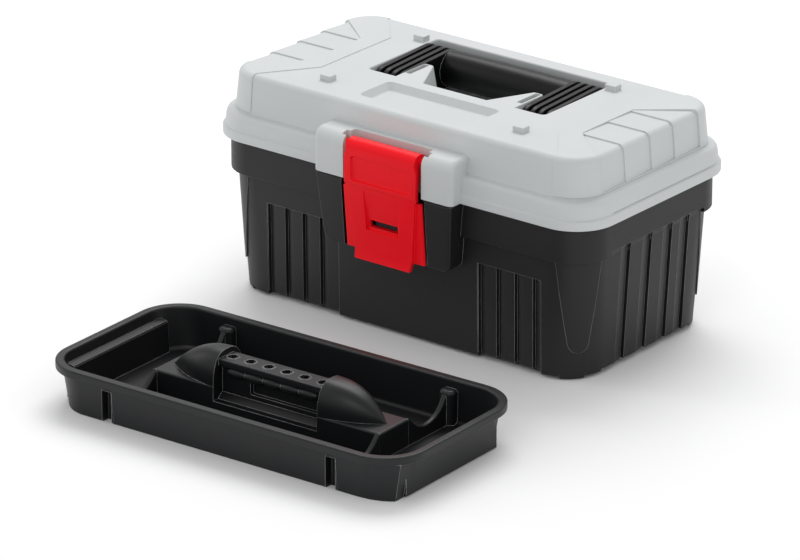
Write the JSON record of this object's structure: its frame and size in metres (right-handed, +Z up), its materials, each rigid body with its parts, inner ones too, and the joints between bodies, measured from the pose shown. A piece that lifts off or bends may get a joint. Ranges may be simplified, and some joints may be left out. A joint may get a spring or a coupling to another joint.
{
  "type": "toolbox with tray",
  "caption": "Plastic toolbox with a ribbed tub, hinged lid, folding handle in a pocket, snap latch and lift-out tray.",
  "frame": {"origin": "middle of the tub's flat base, on the floor", "axes": "+X to the right seen from the front, -Y out of the front with the latch, +Z up"},
  "size_m": [0.3373, 0.412, 0.161],
  "materials": {
    "tub_plastic": "fine satin texture, near black",
    "lid_plastic": "fine satin texture, light grey",
    "latch_plastic": "smooth semi-gloss red",
    "handle_plastic": "smooth satin black",
    "tray_plastic": "fine satin texture, near black",
    "steel": "drawn steel pin"
  },
  "bodies": {
    "tub": {"tub": "tub_plastic", "hinge_pin_left": "steel", "hinge_pin_right": "steel"},
    "lid": {"lid": "lid_plastic", "handle_pin_left": "steel", "handle_pin_right": "steel"},
    "latch": {"latch": "latch_plastic"},
    "handle": {"handle": "handle_plastic"},
    "tray": {"tray": "tray_plastic"}
  },
  "joints": [
    {"name": "lid_hinge", "type": "hinge", "parent": "tub", "child": "lid", "pos_m": [0, 0.091, 0.109], "axis": [-1, 0, 0], "range_deg": [0, 105]},
    {"name": "latch_swing", "type": "hinge", "parent": "lid", "child": "latch", "pos_m": [0, -0.0895, 0.135], "axis": [-1, 0, 0], "range_deg": [0, 100]},
    {"name": "handle_fold", "type": "hinge", "parent": "lid", "child": "handle", "pos_m": [0, -0.0025, 0.1435], "axis": [1, 0, 0], "range_deg": [0, 90]},
    {"name": "tray_lift", "type": "slide", "parent": "tub", "child": "tray", "axis": [0, 0, 1], "range_m": [0, 0.25]}
  ]
}
